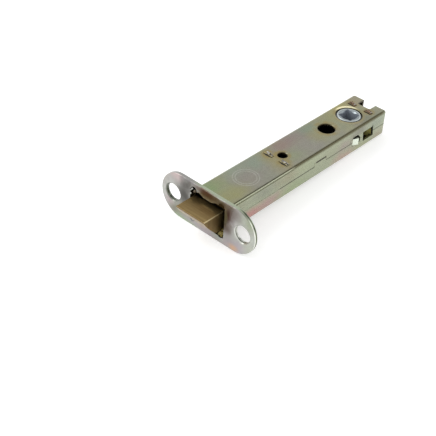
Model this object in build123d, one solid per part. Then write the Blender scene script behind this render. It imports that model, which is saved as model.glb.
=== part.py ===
from build123d import *
import os
from math import asin, cos, degrees, radians, sin, sqrt

# Tubular mortice latch, millimetres.
# X runs from the forend's front face (x = 0) to the rear of the case.
# Z is the follower's axis, with z = 0 halfway through the case. Y is the case's width.

# Forend
FOREND_LENGTH = 60.0
FOREND_WIDTH = 25.0
FOREND_THICKNESS = 2.0
FOREND_EDGE_RADIUS = 0.45
SCREW_HOLE_FROM_END = 7.65
SCREW_HOLE = 9.2
SCREW_HOLE_FLARE = 0.5
OPENING_ABOVE_CASE = 1.4
OPENING_SIDE_CLEARANCE = 0.1
OPENING_WAIST_DROP = 1.35
OPENING_WAIST_HALF = (2.6, 5.6)
CORNER_RELIEF_RADIUS = 1.85
UPPER_RELIEF_OFFSET = (2.2, 0.3)
LOWER_RELIEF_OFFSET = (2.1, 1.3)

# Case
CASE_WIDTH = 22.0
CASE_DEPTH = 15.0
SHEET = 1.2
BEND_RADIUS = 1.5
FLANGE_SIDE_MARGIN = 1.2
FLANGE_TOP_MARGIN = 1.85
FLANGE_CORNER_RADIUS = 3.0
SEAM_HEIGHT = -0.3
SEAM_GAP = 0.16
SEAM_TONGUE_START = 66.7
SEAM_TONGUE_LENGTH = 9.6
SEAM_TONGUE_RISE = 2.1
END_FLAP_SLIT = 0.22
TOOLING_HOLE = 5.0
TOOLING_HOLE_BEHIND_BRACKET = 5.4
PUNCH_ROLLOVER = 0.3

# Where the door furniture goes through
BACKSET = 108.0
SPINDLE = 8.0
SPINDLE_CLEARANCE = 0.05
SPINDLE_CORNER_RADIUS = 0.3
FURNITURE_BOLT_CENTRES = 38.0
FURNITURE_BOLT_HOLE = 9.0
REAR_NOTCH_WIDTH = 8.2
REAR_NOTCH_DEPTH = 6.4
REAR_NOTCH_CORNER_RADIUS = 1.2

# Side windows and the lanced barb, placed from the follower's axis
BARB_ROOT_AHEAD = 9.7
BARB_LENGTH = 3.5
BARB_TOP = 1.95
BARB_BOTTOM = -1.85
BARB_ANGLE = 26.0
BARB_WINDOW_LENGTH = 6.7
BARB_WINDOW_TOP = 2.9
BARB_WINDOW_BOTTOM = -2.3
BARB_WINDOW_CORNER_CUT = 2.5
BARB_STEP_LENGTH = 1.7
BARB_STEP_RISE = 2.4
BARB_RELIEF_RADIUS = 0.45
SIGHT_WINDOW_AHEAD = 1.0
SIGHT_WINDOW_LENGTH = 8.8
SIGHT_WINDOW_SKEW = 0.9
SIGHT_WINDOW_TOP = 2.5
SIGHT_WINDOW_BOTTOM = -3.4
SIGHT_NICK_WIDTH = 0.7
SIGHT_NICK_HEIGHT = 0.6

# Cross plates staked into the case
MID_BRACKET_FRONT = 48.6
BRACKET_THICKNESS = 2.0
BRACKET_EDGE_GAP = 0.1
MID_TENON_LENGTH = 5.3
MID_TENON_CENTRE = 5.05
REAR_TENON_LENGTH = 4.4
REAR_TENON_CENTRE = 5.3
REAR_BRACKET_GAP = 1.5
REAR_BRACKET_WINDOW = (7.0, 6.0)
TENON_PROUD = 0.3
TENON_PEEN_RADIUS = 0.25
SLOT_SIDE_CLEARANCE = 0.1
SLOT_FRONT_CLEARANCE = 0.5
SPRING_STOP_THICKNESS = 1.2
SPRING_STOP_TO_BOLT_HOLE = 1.3
SPRING_STOP_SIDE_GAP = 1.8
SPRING_STOP_TOP_GAP = 0.7
SPRING_STOP_TENON = 3.0
SPRING_STOP_NECK_GAP = 0.3

# Latch bolt and its rod
BOLT_GAP = 0.8
BOLT_THROW = 11.6
BOLT_LENGTH = 21.6
BEVEL_RUN = 9.1
BEVEL_BULGE = 0.55
NOSE_FLAT = 0.55
BOLT_EDGE_CHAMFER = 0.2
OUTER_PLATE_THICKNESS = 1.8
ROD_DIAMETER = 4.0
ROD_GRIP_IN_BOLT = 12.0
ROD_TAIL = 3.0
CROSS_PIN_DIAMETER = 2.5
CROSS_PIN_FROM_REAR = 5.0
CROSS_PIN_SUNK = 0.15
PRESS_ALLOWANCE = 0.02
RUNNING_CLEARANCE = 0.08
CLIP_THICKNESS = 0.9
CLIP_GROOVE_DEPTH = 0.5
CLIP_OPENING = 2.6
CLIP_STEP = 0.1
WASHER_THICKNESS = 0.8
DRAW_WASHER_GAP = 0.2
DRAW_GAP = 0.05

# Springs
BOLT_SPRING_WIRE = 0.8
BOLT_SPRING_OUTSIDE = 8.5
BOLT_SPRING_TURNS = 14
LEVER_SPRING_WIRE = 1.1
LEVER_SPRING_FLOOR_GAP = 0.2
LEVER_SPRING_TURNS = 9
SEAT_MARGIN = 0.1

# Retractor
RETRACTOR_SHEET = 1.5
RETRACTOR_FLOOR_GAP = 0.1
RETRACTOR_SIDE_GAP = 0.2
RETRACTOR_BEND_RADIUS = 0.7
EAR_WIDTH = 11.0
EAR_TOP_GAP = 1.3
EAR_REST_GAP = 0.1
EAR_SHOULDER = 5.0
ROD_SLOT_CLEARANCE = 0.3
SLOT_TO_FURNITURE_BOLT = 0.3
SLOT_END_GAP = 0.3
HUB_SLOT_CLEARANCE = 0.4
LUG_WIDTH = 2.0
LUG_TOP_GAP = 1.8

# Follower
HUB_CORNER_WALL = 0.47
JOURNAL_SHOULDER = 0.9
JOURNAL_CLEARANCE = 0.075
JOURNAL_LENGTH = 0.6
HUB_FACE_STEP = 0.1
HUB_FACE_CHAMFER = 0.2
LEAD_IN_WIDENING = 0.6
LEAD_IN_DEPTH = 0.7
ARM_TIP_RADIUS = 0.8
ARM_ROOT_RADIUS = 2.0
ARM_ROOT_REACH = 3.5
ARM_ROOT_TURN = 26.0
ARM_WALL_GAP = 0.2
ARM_TOP_GAP = 0.1
ARM_TO_RETRACTOR = 0.3
ARM_TO_LUG = 0.25

# Places worked out from the sizes above
case_front = FOREND_THICKNESS
case_rear = BACKSET + FURNITURE_BOLT_CENTRES / 2
inner_half_width = CASE_WIDTH / 2 - SHEET
inner_half_depth = CASE_DEPTH / 2 - SHEET
bolt_hole_x = BACKSET - FURNITURE_BOLT_CENTRES / 2
travel = BOLT_THROW - OUTER_PLATE_THICKNESS
opening_width = CASE_WIDTH + 2 * OPENING_SIDE_CLEARANCE
opening_height = CASE_DEPTH + 2 * OPENING_ABOVE_CASE
screw_centres = FOREND_LENGTH - 2 * SCREW_HOLE_FROM_END
bolt_width = 2 * (inner_half_width - BOLT_GAP)
bolt_height = 2 * (inner_half_depth - BOLT_GAP)
hub_radius = (SPINDLE + 2 * SPINDLE_CLEARANCE) / sqrt(2) + HUB_CORNER_WALL
journal_hole = 2 * (hub_radius + JOURNAL_SHOULDER)

bolt_rear = BOLT_LENGTH - BOLT_THROW
mid_bracket_rear = MID_BRACKET_FRONT + BRACKET_THICKNESS
ear_front = mid_bracket_rear + EAR_REST_GAP
ear_rear = ear_front + RETRACTOR_SHEET
draw_washer_front = ear_rear + DRAW_GAP
clip_front = draw_washer_front + WASHER_THICKNESS
rod_front = bolt_rear - ROD_GRIP_IN_BOLT
rod_rear = clip_front + CLIP_THICKNESS + ROD_TAIL
stop_top = inner_half_depth - SPRING_STOP_TOP_GAP
stop_front = bolt_hole_x - FURNITURE_BOLT_HOLE / 2 - SPRING_STOP_TO_BOLT_HOLE - SPRING_STOP_THICKNESS

retractor_bottom = -inner_half_depth + RETRACTOR_FLOOR_GAP
retractor_top = retractor_bottom + RETRACTOR_SHEET
retractor_half_width = inner_half_width - RETRACTOR_SIDE_GAP
ear_top = inner_half_depth - EAR_TOP_GAP
lug_top = inner_half_depth - LUG_TOP_GAP
lever_spring_outside = -retractor_top - LEVER_SPRING_FLOOR_GAP
lever_spring_inside = lever_spring_outside - LEVER_SPRING_WIRE
draw_washer_outside = lever_spring_inside - DRAW_WASHER_GAP
slot_front = stop_front - travel - SLOT_END_GAP
slot_half_width = FURNITURE_BOLT_HOLE / 2 + SLOT_TO_FURNITURE_BOLT
hub_slot_half_width = hub_radius + HUB_SLOT_CLEARANCE
hub_slot_front = BACKSET - hub_slot_half_width - travel + HUB_SLOT_CLEARANCE

arm_reach = inner_half_width - ARM_WALL_GAP - ARM_TIP_RADIUS
arm_rest_angle = degrees(asin(travel / 2 / arm_reach))
arm_top = inner_half_depth - ARM_TOP_GAP
arm_bottom = retractor_top + ARM_TO_RETRACTOR
lug_front = BACKSET - travel / 2 + ARM_TIP_RADIUS + ARM_TO_LUG
lug_rear = lug_front + RETRACTOR_SHEET
rear_bracket_front = lug_rear + travel + REAR_BRACKET_GAP

barb_root = BACKSET - BARB_ROOT_AHEAD
sight_window_front = BACKSET - SIGHT_WINDOW_AHEAD
FAR = 200.0


def block(x, y, z):
    """A box given by its low and high edge along each axis."""
    size = (x[1] - x[0], y[1] - y[0], z[1] - z[0])
    centre = ((x[0] + x[1]) / 2, (y[0] + y[1]) / 2, (z[0] + z[1]) / 2)
    return Pos(*centre) * Box(*size)


def across(half):
    """Low and high edge of something centred on the case."""
    return (-half, half)


def rod_along_x(radius, start, end):
    """A round bar on the latch's long axis."""
    return Pos((start + end) / 2, 0, 0) * Rot(0, 90, 0) * Cylinder(radius, end - start)


def washer_along_x(inside, outside, start, thickness=WASHER_THICKNESS):
    """A flat ring on the latch's long axis, from its two radii."""
    ring = rod_along_x(outside, start, start + thickness)
    return ring - rod_along_x(inside, start - thickness, start + 2 * thickness)


def hole_through_case(diameter, x):
    """A drill along Z, longer than the case is deep."""
    return Pos(x, 0, 0) * Cylinder(diameter / 2, 2 * CASE_DEPTH)


def punched_hole(diameter, x):
    """A hole through both halves, with its outer edges rolled in by the punch."""
    radius = diameter / 2
    cut = hole_through_case(diameter, x)
    flare = Cone(radius, radius + 2 * PUNCH_ROLLOVER, 2 * PUNCH_ROLLOVER)
    cut += Pos(x, 0, CASE_DEPTH / 2) * flare
    cut += Pos(x, 0, -CASE_DEPTH / 2) * Rot(180, 0, 0) * flare
    return cut


def both_sides(solid):
    """The solid and its mirror image across the middle of the case."""
    return [solid, solid.mirror(Plane.XZ)]


def forend_plate():
    """Round-ended plate with the screw holes and the opening that the bolt comes through."""
    plane = Plane(origin=(0, 0, 0), x_dir=(0, 1, 0), z_dir=(1, 0, 0))
    outline = SlotOverall(FOREND_LENGTH, FOREND_WIDTH)
    for side in (-1, 1):
        outline -= Pos(side * screw_centres / 2, 0) * Circle(SCREW_HOLE / 2)
    plate = extrude(plane * outline, FOREND_THICKNESS)
    rim = plate.faces().sort_by(Axis.X)[0].outer_wire().edges()
    plate = fillet(rim, FOREND_EDGE_RADIUS)
    flare = Cone(SCREW_HOLE / 2 + 2 * SCREW_HOLE_FLARE, SCREW_HOLE / 2, 2 * SCREW_HOLE_FLARE)
    for side in (-1, 1):
        plate -= Pos(0, side * screw_centres / 2, 0) * Rot(0, 90, 0) * flare

    # The upper and lower edges dip towards the bolt between the round corner reliefs.
    half_width, half_height = opening_width / 2, opening_height / 2
    waist_inner, waist_outer = OPENING_WAIST_HALF
    upper_edge = (
        (half_width, half_height),
        (waist_outer, half_height),
        (waist_inner, half_height - OPENING_WAIST_DROP),
    )
    corners = list(upper_edge)
    corners += [(-y, z) for y, z in reversed(upper_edge)]
    corners += [(-y, -z) for y, z in upper_edge]
    corners += [(y, -z) for y, z in reversed(upper_edge)]
    opening = make_face(Polyline(*corners, close=True))
    for side in (-1, 1):
        for level, (in_y, in_z) in ((1, UPPER_RELIEF_OFFSET), (-1, LOWER_RELIEF_OFFSET)):
            place = Pos(side * (half_width - in_y), level * (half_height - in_z))
            opening += place * Circle(CORNER_RELIEF_RADIUS)
    return plate - extrude(plane * opening, 2 * FOREND_THICKNESS, both=True)


def tenon_slots(front, thickness, centre, length, levels):
    """Slots in the case for the tenons of one cross plate."""
    x = (front - SLOT_FRONT_CLEARANCE, front + thickness + SLOT_SIDE_CLEARANCE)
    y = (
        centre - length / 2 - SLOT_SIDE_CLEARANCE,
        centre + length / 2 + SLOT_SIDE_CLEARANCE,
    )
    slots = []
    for level in levels:
        z = (0.0, CASE_DEPTH) if level > 0 else (-CASE_DEPTH, 0.0)
        slots += both_sides(block(x, y, z))
    return slots


def side_window(corners):
    """A window through the near side wall, from its corners in x and z."""
    inside = Plane.XZ.offset(inner_half_width - SHEET / 2)
    return extrude(inside * Polygon(*corners, align=None), CASE_WIDTH)


def side_windows():
    """The barb's window in the near side wall, and the sight window in both side walls."""
    wall = (-CASE_WIDTH, -inner_half_width + SHEET / 2)
    window_end = barb_root + BARB_WINDOW_LENGTH
    barb = side_window(
        (
            (barb_root, BARB_WINDOW_BOTTOM),
            (window_end, BARB_WINDOW_BOTTOM),
            (window_end, BARB_WINDOW_TOP - BARB_WINDOW_CORNER_CUT),
            (window_end - BARB_WINDOW_CORNER_CUT, BARB_WINDOW_TOP),
            (barb_root, BARB_WINDOW_TOP),
        )
    )
    relief = Pos(barb_root + BARB_RELIEF_RADIUS, -CASE_WIDTH / 2, BARB_WINDOW_BOTTOM)
    relief = relief * Rot(90, 0, 0) * Cylinder(BARB_RELIEF_RADIUS, 3 * SHEET)
    sight_end = sight_window_front + SIGHT_WINDOW_LENGTH
    sight = side_window(
        (
            (sight_window_front + SIGHT_WINDOW_SKEW, SIGHT_WINDOW_BOTTOM),
            (sight_end + SIGHT_WINDOW_SKEW, SIGHT_WINDOW_BOTTOM),
            (sight_end, SIGHT_WINDOW_TOP),
            (sight_window_front, SIGHT_WINDOW_TOP),
        )
    )
    nick = block(
        (sight_end - SIGHT_NICK_WIDTH, sight_end),
        wall,
        (0.0, SIGHT_WINDOW_TOP + SIGHT_NICK_HEIGHT),
    )
    return [barb, relief] + both_sides(sight) + both_sides(nick)


def case_blank():
    """Both case halves as one: the bent box, its front flange and every cut through it."""
    outer = block((case_front, case_rear), across(CASE_WIDTH / 2), across(CASE_DEPTH / 2))
    rear_edges = outer.faces().sort_by(Axis.X)[-1].edges()
    outer = fillet(outer.edges().filter_by(Axis.X) + rear_edges, BEND_RADIUS)

    flange_plane = Plane(origin=(case_front, 0, 0), x_dir=(0, 1, 0), z_dir=(1, 0, 0))
    flange = RectangleRounded(
        opening_width + 2 * FLANGE_SIDE_MARGIN,
        opening_height + 2 * FLANGE_TOP_MARGIN,
        FLANGE_CORNER_RADIUS,
    )
    blank = outer + extrude(flange_plane * flange, SHEET)

    room = block(
        (case_front - SHEET, case_rear - SHEET),
        across(inner_half_width),
        across(inner_half_depth),
    )
    room_rear = room.faces().sort_by(Axis.X)[-1].edges()
    blank -= fillet(room.edges().filter_by(Axis.X) + room_rear, BEND_RADIUS - SHEET)

    blank -= hole_through_case(journal_hole, BACKSET)
    blank -= punched_hole(FURNITURE_BOLT_HOLE, bolt_hole_x)
    blank -= punched_hole(TOOLING_HOLE, MID_BRACKET_FRONT + TOOLING_HOLE_BEHIND_BRACKET)

    notch = block(
        (case_rear - REAR_NOTCH_DEPTH, case_rear + SHEET),
        across(REAR_NOTCH_WIDTH / 2),
        across(CASE_DEPTH),
    )
    notch_corners = notch.edges().filter_by(Axis.Z).group_by(Axis.X)[0]
    blank -= fillet(notch_corners, REAR_NOTCH_CORNER_RADIUS)

    slit = block(
        (case_rear - SHEET - END_FLAP_SLIT, case_rear + SHEET),
        (inner_half_width - END_FLAP_SLIT, inner_half_width),
        across(CASE_DEPTH / 2 - BEND_RADIUS),
    )
    both_levels = (-1, 1)
    cuts = both_sides(slit) + side_windows()
    cuts += tenon_slots(
        MID_BRACKET_FRONT, BRACKET_THICKNESS, MID_TENON_CENTRE, MID_TENON_LENGTH, both_levels
    )
    cuts += tenon_slots(
        rear_bracket_front, BRACKET_THICKNESS, REAR_TENON_CENTRE, REAR_TENON_LENGTH, both_levels
    )
    cuts += tenon_slots(
        stop_front, SPRING_STOP_THICKNESS, stop_tenon_centre(), SPRING_STOP_TENON, (-1,)
    )
    for cut in cuts:
        blank -= cut
    return blank


def below_seam(grow):
    """The space of the lower half, with its tongues, made larger by grow on every side."""
    seam = SEAM_HEIGHT - SEAM_GAP / 2 + grow
    space = block((-FAR, FAR), across(FAR), (-FAR, seam))
    tongues = (
        (SEAM_TONGUE_START, SEAM_TONGUE_START + SEAM_TONGUE_LENGTH, SEAM_TONGUE_RISE),
        (barb_root - BARB_STEP_LENGTH, barb_root + BARB_RELIEF_RADIUS, BARB_STEP_RISE),
    )
    for start, end, rise in tongues:
        space += block((start - grow, end + grow), across(CASE_WIDTH), (seam - SHEET, seam + rise))
    return space


def barb():
    """The lanced barb, bent outwards from the lower half's side wall."""
    face = -CASE_WIDTH / 2
    turn = radians(BARB_ANGLE)
    tip = (barb_root + BARB_LENGTH * cos(turn), face - BARB_LENGTH * sin(turn))
    inner_tip = (tip[0] + SHEET * sin(turn), tip[1] + SHEET * cos(turn))
    to_inner_face = (-inner_half_width - inner_tip[1]) / sin(turn)
    inner_root = (inner_tip[0] - to_inner_face * cos(turn), -inner_half_width)
    outline = Polygon(
        (barb_root - SHEET / 2, face),
        (barb_root, face),
        tip,
        inner_tip,
        inner_root,
        (barb_root - SHEET / 2, -inner_half_width),
        align=None,
    )
    return Pos(0, 0, BARB_BOTTOM) * extrude(outline, BARB_TOP - BARB_BOTTOM)


def case_halves():
    """Upper and lower half, parted at the seam."""
    blank = case_blank()
    upper = blank - below_seam(SEAM_GAP)
    lower = blank & below_seam(0.0)
    lower += barb()
    return upper, lower


def tenon(front, thickness, y, level, reach):
    """One staked tenon: its end stands a little proud of the case and is peened round."""
    z = (0.0, reach) if level > 0 else (-reach, 0.0)
    piece = block((front, front + thickness), y, z)
    end = piece.faces().sort_by(Axis.Z)[-1 if level > 0 else 0]
    return fillet(end.edges(), TENON_PEEN_RADIUS)


def cross_plate(front, tenon_centre, tenon_length):
    """A plate across the case with two tenons up and two down."""
    plate = block(
        (front, front + BRACKET_THICKNESS),
        across(inner_half_width - BRACKET_EDGE_GAP),
        across(inner_half_depth - BRACKET_EDGE_GAP),
    )
    near, far = tenon_centre - tenon_length / 2, tenon_centre + tenon_length / 2
    reach = CASE_DEPTH / 2 + TENON_PROUD
    for y in ((near, far), (-far, -near)):
        for level in (-1, 1):
            plate += tenon(front, BRACKET_THICKNESS, y, level, reach)
    return plate


def mid_bracket():
    """Cross plate that guides the rod, carries the bolt spring and stops the retractor."""
    plate = cross_plate(MID_BRACKET_FRONT, MID_TENON_CENTRE, MID_TENON_LENGTH)
    bore = ROD_DIAMETER / 2 + RUNNING_CLEARANCE
    return plate - rod_along_x(bore, MID_BRACKET_FRONT - SHEET, mid_bracket_rear + SHEET)


def rear_bracket():
    """Cross plate that closes the case behind the retractor, with a punched window."""
    plate = cross_plate(rear_bracket_front, REAR_TENON_CENTRE, REAR_TENON_LENGTH)
    width, height = REAR_BRACKET_WINDOW
    x = (rear_bracket_front - SHEET, rear_bracket_front + BRACKET_THICKNESS + SHEET)
    return plate - block(x, across(width / 2), across(height / 2))


def stop_neck_half_width():
    """Half width of the spring stop where it stands in the retractor's slot."""
    return slot_half_width - SPRING_STOP_NECK_GAP


def stop_tenon_centre():
    """Distance of each of the spring stop's tenons from the middle."""
    return stop_neck_half_width() - SPRING_STOP_TENON / 2


def lever_spring_stop():
    """Plate that stands through the retractor's slot and holds the lever spring's rear end."""
    x = (stop_front, stop_front + SPRING_STOP_THICKNESS)
    head = block(x, across(inner_half_width - SPRING_STOP_SIDE_GAP), (arm_bottom, stop_top))
    neck = block(
        x,
        across(stop_neck_half_width()),
        (-inner_half_depth + BRACKET_EDGE_GAP, arm_bottom + SHEET),
    )
    plate = head + neck
    centre = stop_tenon_centre()
    near, far = centre - SPRING_STOP_TENON / 2, centre + SPRING_STOP_TENON / 2
    for y in ((near, far), (-far, -near)):
        plate += tenon(stop_front, SPRING_STOP_THICKNESS, y, -1, CASE_DEPTH / 2 + TENON_PROUD)
    return plate


def latch_bolt():
    """Brass bolt: flat on top, bevelled underneath, bored from the rear for the rod."""
    top = bolt_height / 2
    nose = (-BOLT_THROW, top - NOSE_FLAT)
    heel = (-BOLT_THROW + BEVEL_RUN, -top)
    middle = (
        (nose[0] + heel[0]) / 2 - BEVEL_BULGE * cos(radians(45)),
        (nose[1] + heel[1]) / 2 - BEVEL_BULGE * sin(radians(45)),
    )
    outline = Curve() + [
        Line((bolt_rear, -top), (bolt_rear, top)),
        Line((bolt_rear, top), (-BOLT_THROW, top)),
        Line((-BOLT_THROW, top), nose),
        ThreePointArc(nose, middle, heel),
        Line(heel, (bolt_rear, -top)),
    ]
    side = Plane.XZ * make_face(outline)
    body = extrude(side, bolt_width / 2, both=True)
    trimmed = body.edges().filter_by(Axis.X) + body.edges().filter_by(Axis.Y).group_by(Axis.X)[0]
    body = chamfer(trimmed, BOLT_EDGE_CHAMFER)
    body -= rod_along_x(ROD_DIAMETER / 2 + PRESS_ALLOWANCE, rod_front, bolt_rear + SHEET)
    body -= cross_pin_bar(CROSS_PIN_DIAMETER / 2 + PRESS_ALLOWANCE, bolt_height)
    return body


def cross_pin_bar(radius, length):
    """A bar along Z at the place of the cross pin."""
    return Pos(bolt_rear - CROSS_PIN_FROM_REAR, 0, 0) * Cylinder(radius, length)


def bolt_cross_pin():
    """Pin through the bolt and the rod, a little below the bolt's faces."""
    return cross_pin_bar(CROSS_PIN_DIAMETER / 2, bolt_height - 2 * CROSS_PIN_SUNK)


def draw_rod():
    """Rod from the bolt to the retractor, cross drilled at the bolt and grooved for the clip."""
    rod = rod_along_x(ROD_DIAMETER / 2, rod_front, rod_rear)
    rod -= cross_pin_bar(CROSS_PIN_DIAMETER / 2 + PRESS_ALLOWANCE, bolt_height)
    floor = ROD_DIAMETER / 2 - CLIP_GROOVE_DEPTH
    return rod - washer_along_x(floor, ROD_DIAMETER, clip_front, CLIP_THICKNESS)


def draw_washer():
    """Washer between the retractor's ear and the clip."""
    inside = ROD_DIAMETER / 2 + RUNNING_CLEARANCE
    return washer_along_x(inside, draw_washer_outside, draw_washer_front)


def draw_clip():
    """Open retaining clip in the rod's groove."""
    inside = ROD_DIAMETER / 2 - CLIP_GROOVE_DEPTH + PRESS_ALLOWANCE
    clip = washer_along_x(inside, draw_washer_outside - CLIP_STEP, clip_front, CLIP_THICKNESS)
    x = (clip_front - SHEET, clip_front + CLIP_THICKNESS + SHEET)
    return clip - block(x, across(CLIP_OPENING / 2), (0.0, CASE_DEPTH))


def coil(wire, outside, turns, start, end):
    """Compression spring on the long axis, between two seats."""
    radius = (outside - wire) / 2
    rise = end - start - wire
    path = Helix(pitch=rise / turns, height=rise, radius=radius)
    section = Plane(origin=path @ 0, z_dir=path % 0) * Circle(wire / 2)
    spring = sweep(section, path=path, is_frenet=True)
    return Pos(start + wire / 2, 0, 0) * Rot(0, 90, 0) * spring


def bolt_spring_parts():
    """Spring that throws the bolt out, and the two washers it bears on."""
    inside = ROD_DIAMETER / 2 + RUNNING_CLEARANCE
    outside = BOLT_SPRING_OUTSIDE / 2 + SEAT_MARGIN
    rear_seat = MID_BRACKET_FRONT - WASHER_THICKNESS
    spring = coil(
        BOLT_SPRING_WIRE,
        BOLT_SPRING_OUTSIDE,
        BOLT_SPRING_TURNS,
        bolt_rear + WASHER_THICKNESS,
        rear_seat,
    )
    return {
        "bolt_spring": spring,
        "bolt_spring_front_seat": washer_along_x(inside, outside, bolt_rear),
        "bolt_spring_rear_seat": washer_along_x(inside, outside, rear_seat),
    }


def lever_spring_parts():
    """Spring that returns the handles, and the two washers it bears on."""
    outside = lever_spring_outside + SEAT_MARGIN
    inside = lever_spring_inside
    rear_seat = stop_front - WASHER_THICKNESS
    spring = coil(
        LEVER_SPRING_WIRE,
        2 * lever_spring_outside,
        LEVER_SPRING_TURNS,
        ear_rear + WASHER_THICKNESS,
        rear_seat,
    )
    return {
        "lever_spring": spring,
        "lever_spring_front_seat": washer_along_x(inside, outside, ear_rear),
        "lever_spring_rear_seat": washer_along_x(inside, outside, rear_seat),
    }


def retractor():
    """Stamped fork: an ear round the rod in front, two prongs with bent-up lugs behind."""
    level = (retractor_bottom, retractor_top)
    web = block((ear_front, lug_rear), across(retractor_half_width), level)
    shoulder = (ear_front - SHEET, ear_rear + EAR_SHOULDER)
    for piece in both_sides(block(shoulder, (EAR_WIDTH / 2, CASE_WIDTH), across(CASE_DEPTH))):
        web -= piece
    web -= block((slot_front, FAR), across(slot_half_width), across(CASE_DEPTH))
    web -= block((hub_slot_front, FAR), across(hub_slot_half_width), across(CASE_DEPTH))

    ear = block((ear_front, ear_rear), across(EAR_WIDTH / 2), (retractor_bottom, ear_top))
    slot_radius = ROD_DIAMETER / 2 + ROD_SLOT_CLEARANCE
    ear -= rod_along_x(slot_radius, ear_front - SHEET, ear_rear + SHEET)
    ear -= block((ear_front - SHEET, ear_rear + SHEET), across(slot_radius), (0.0, CASE_DEPTH))

    fork = web + ear
    lug_inner = retractor_half_width - LUG_WIDTH
    lug = block(
        (lug_front, lug_rear), (lug_inner, retractor_half_width), (retractor_bottom, lug_top)
    )
    for piece in both_sides(lug):
        fork += piece
    bottom_edges = fork.faces().sort_by(Axis.Z)[0].edges().filter_by(Axis.Y).sort_by(Axis.X)
    outer_bends = [bottom_edges[0]] + list(bottom_edges[-2:])
    return fillet(outer_bends, RETRACTOR_BEND_RADIUS)


def follower():
    """Hub with the square hole, journals in the case holes and two arms for the retractor."""
    hub = Cylinder(hub_radius, 2 * inner_half_depth)
    journal_radius = journal_hole / 2 - JOURNAL_CLEARANCE
    for level in (-1, 1):
        journal_middle = level * (inner_half_depth + JOURNAL_LENGTH / 2)
        hub += Pos(0, 0, journal_middle) * Cylinder(journal_radius, JOURNAL_LENGTH)
    face = Cylinder(hub_radius + HUB_FACE_STEP, CASE_DEPTH)
    hub += chamfer(face.edges(), HUB_FACE_CHAMFER)

    # Each arm's root is set back from the line to its tip, so that its flank clears the lug.
    turn = radians(arm_rest_angle)
    root_turn = radians(arm_rest_angle + ARM_ROOT_TURN)
    root = Pos(-sin(root_turn) * ARM_ROOT_REACH, -cos(root_turn) * ARM_ROOT_REACH)
    tip = Pos(-sin(turn) * arm_reach, -cos(turn) * arm_reach)
    outline = make_hull(
        (root * Circle(ARM_ROOT_RADIUS)).edges() + (tip * Circle(ARM_TIP_RADIUS)).edges()
    )
    arm = Pos(0, 0, arm_bottom) * extrude(outline, arm_top - arm_bottom)
    for piece in both_sides(arm):
        hub += piece

    square = RectangleRounded(
        SPINDLE + 2 * SPINDLE_CLEARANCE, SPINDLE + 2 * SPINDLE_CLEARANCE, SPINDLE_CORNER_RADIUS
    )
    hub -= extrude(square, CASE_DEPTH, both=True)
    narrow = SPINDLE / 2 + SPINDLE_CLEARANCE
    lead_in = Cone(narrow, narrow + LEAD_IN_WIDENING, LEAD_IN_DEPTH)
    lead_in = Pos(0, 0, CASE_DEPTH / 2 - LEAD_IN_DEPTH / 2) * lead_in
    hub -= lead_in
    hub -= Rot(180, 0, 0) * lead_in
    return Pos(BACKSET, 0, 0) * hub


case_top, case_bottom = case_halves()
pieces = {
    "forend_plate": forend_plate(),
    "case_top_shell": case_top,
    "case_bottom_shell": case_bottom,
    "mid_bracket": mid_bracket(),
    "rear_bracket": rear_bracket(),
    "lever_spring_stop": lever_spring_stop(),
    "latch_bolt": latch_bolt(),
    "bolt_cross_pin": bolt_cross_pin(),
    "draw_rod": draw_rod(),
    "draw_washer": draw_washer(),
    "draw_clip": draw_clip(),
    "retractor": retractor(),
    "follower": follower(),
}
pieces.update(bolt_spring_parts())
pieces.update(lever_spring_parts())

os.makedirs("parts", exist_ok=True)
for name, shape in pieces.items():
    export_step(Compound(children=list(shape.solids())), f"parts/{name}.step")
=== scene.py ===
import math
import bmesh
import bpy
from mathutils import Matrix, Vector, noise


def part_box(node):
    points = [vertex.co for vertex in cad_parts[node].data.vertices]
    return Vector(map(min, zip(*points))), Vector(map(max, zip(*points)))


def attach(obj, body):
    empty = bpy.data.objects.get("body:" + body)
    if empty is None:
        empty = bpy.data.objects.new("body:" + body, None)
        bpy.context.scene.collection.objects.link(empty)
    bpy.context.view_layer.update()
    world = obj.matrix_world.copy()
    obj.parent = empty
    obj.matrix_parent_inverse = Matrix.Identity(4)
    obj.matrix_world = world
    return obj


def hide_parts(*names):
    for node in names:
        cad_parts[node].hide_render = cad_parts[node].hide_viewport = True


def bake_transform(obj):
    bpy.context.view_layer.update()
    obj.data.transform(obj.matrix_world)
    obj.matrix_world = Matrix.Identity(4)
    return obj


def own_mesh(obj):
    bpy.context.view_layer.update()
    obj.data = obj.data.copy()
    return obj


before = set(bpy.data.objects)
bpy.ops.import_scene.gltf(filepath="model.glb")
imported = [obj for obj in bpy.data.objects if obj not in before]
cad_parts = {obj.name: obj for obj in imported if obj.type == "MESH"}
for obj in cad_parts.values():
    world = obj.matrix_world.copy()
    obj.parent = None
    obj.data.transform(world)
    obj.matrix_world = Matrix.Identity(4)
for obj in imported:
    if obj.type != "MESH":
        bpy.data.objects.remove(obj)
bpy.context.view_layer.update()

MM = 0.001


# Case halves
# Two pressed halves of 1.2 mm mild steel, folded to a square tube and held together by the
# cross plates staked through them. They are zinc plated and yellow passivated after pressing,
# so the colour drifts from olive to grey, green and pink, and is stained round every hole.
def box_mm(node):
    low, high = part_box(node)
    return [c / MM for c in low], [c / MM for c in high]


CASE_TOP = 7.5
SIDE_FACE = 11.0
CASE_END = 127.0
NOTCH_REACH = 4.2
SHEET = 1.2
SEAM = -0.3
FOLLOWER_X = 108.0
FURNITURE_HOLE_X = 89.0
TOOLING_HOLE_X = 54.0
TONGUE_RISE = 2.1
EMBOSS_CENTRE = (26.9, 0.0)
EMBOSS_RADIUS = 6.6
EMBOSS_STEP = 1.3
EMBOSS_LIGHT = (0.400, 0.400, 0.350)

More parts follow.
